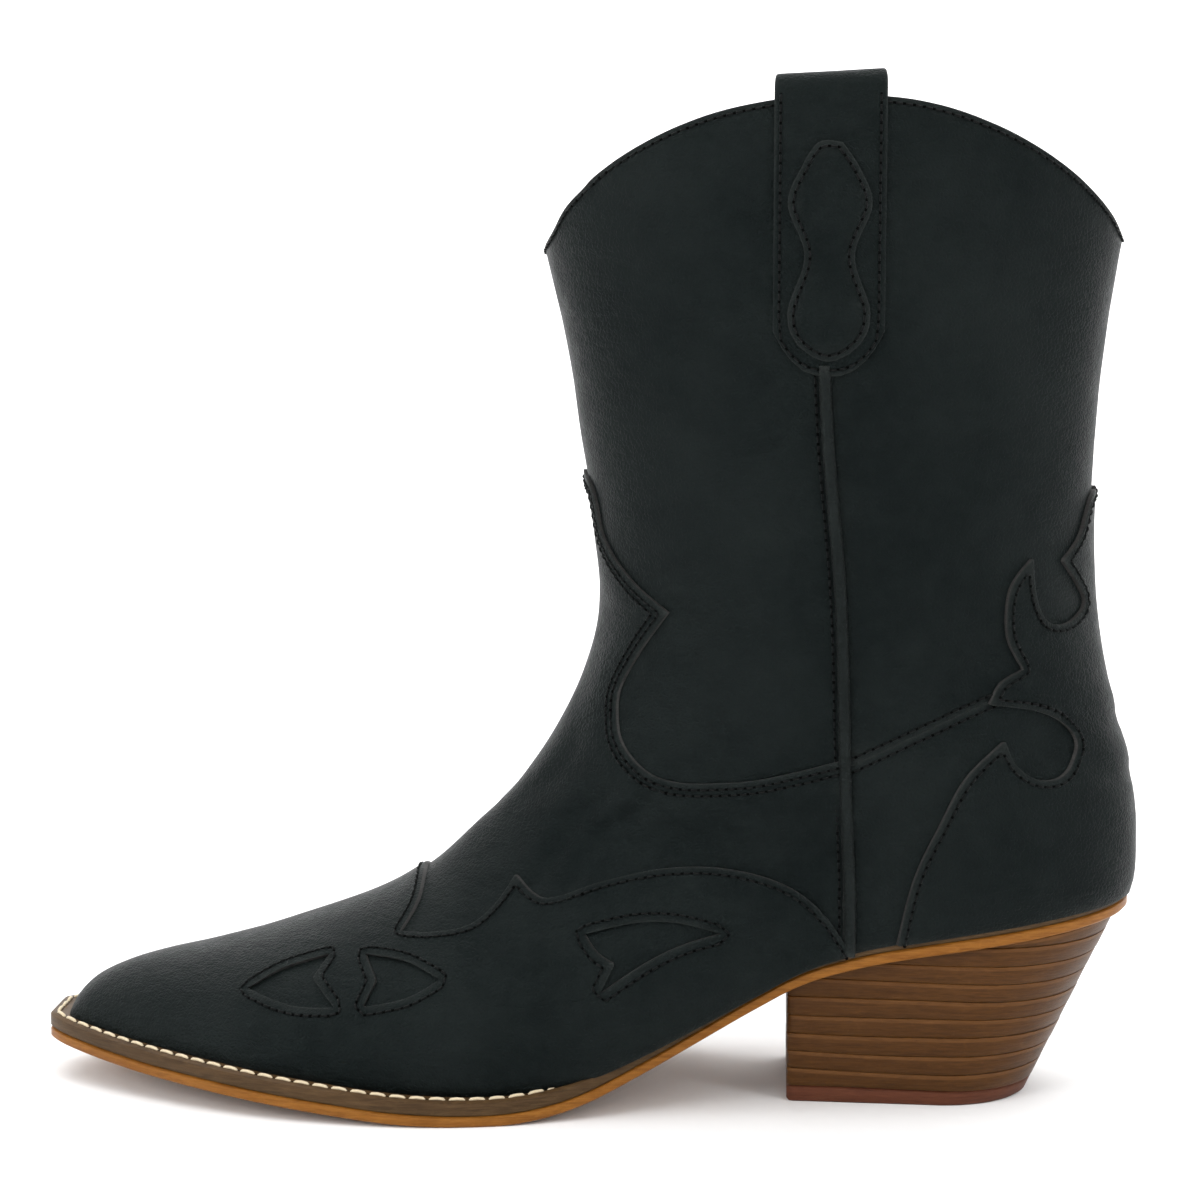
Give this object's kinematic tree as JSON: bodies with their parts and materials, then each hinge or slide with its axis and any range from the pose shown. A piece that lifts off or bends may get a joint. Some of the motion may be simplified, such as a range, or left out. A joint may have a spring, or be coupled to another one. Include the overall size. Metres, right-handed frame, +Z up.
{
  "type": "cowboy boot",
  "caption": "Low pull-on western ankle boot for the left foot: scalloped shaft with pull straps, stitched overlays, welted sole, slanted stacked heel.",
  "frame": {"origin": "middle of the bounding box on the ground, under the waist of the boot", "axes": "+Z up, -X towards the toe, -Y towards the outer (lateral) side"},
  "size_m": [0.2723, 0.0918, 0.249],
  "materials": {
    "upper_leather": "black oiled leather, soft satin with a fine grain",
    "lining": "light tan lining leather, matte",
    "stiffener": "stiffened fabric board, matte",
    "sock": "light tan padded sheet, matte",
    "insole": "leatherboard, matte",
    "filler": "cork and foam filler, matte",
    "steel": "plain spring steel and steel wire",
    "welt": "brown welting with a waxed edge",
    "welt_thread": "waxed cream thread",
    "outsole": "tan outsole, satin",
    "stacked_heel": "stacked leather layers, polished, brown with lighter glue lines",
    "top_piece": "red-brown wearing layer, satin"
  },
  "bodies": {
    "root": {"front_shaft_panel": "upper_leather", "back_shaft_panel": "upper_leather", "vamp": "upper_leather", "lower_quarter_lateral": "upper_leather", "lower_quarter_medial": "upper_leather", "wing_toe_overlay": "upper_leather", "counter_overlay": "upper_leather", "side_piping_lateral": "upper_leather", "side_piping_medial": "upper_leather", "pull_strap_lateral": "upper_leather", "pull_strap_medial": "upper_leather", "strap_patch_lateral": "upper_leather", "strap_patch_medial": "upper_leather", "shaft_lining": "lining", "foot_lining": "lining", "toe_puff": "stiffener", "heel_counter_stiffener": "stiffener", "sock_liner": "sock", "insole_board": "insole", "bottom_filler": "filler", "steel_shank": "steel", "welt": "welt", "welt_stitching": "welt_thread", "outsole": "outsole", "heel_nails": "steel", "top_piece": "top_piece", "heel_lift_1": "stacked_heel", "heel_lift_2": "stacked_heel", "heel_lift_3": "stacked_heel", "heel_lift_4": "stacked_heel", "heel_lift_5": "stacked_heel", "heel_lift_6": "stacked_heel", "heel_lift_7": "stacked_heel", "heel_lift_8": "stacked_heel", "heel_lift_9": "stacked_heel"}
  },
  "joints": []
}
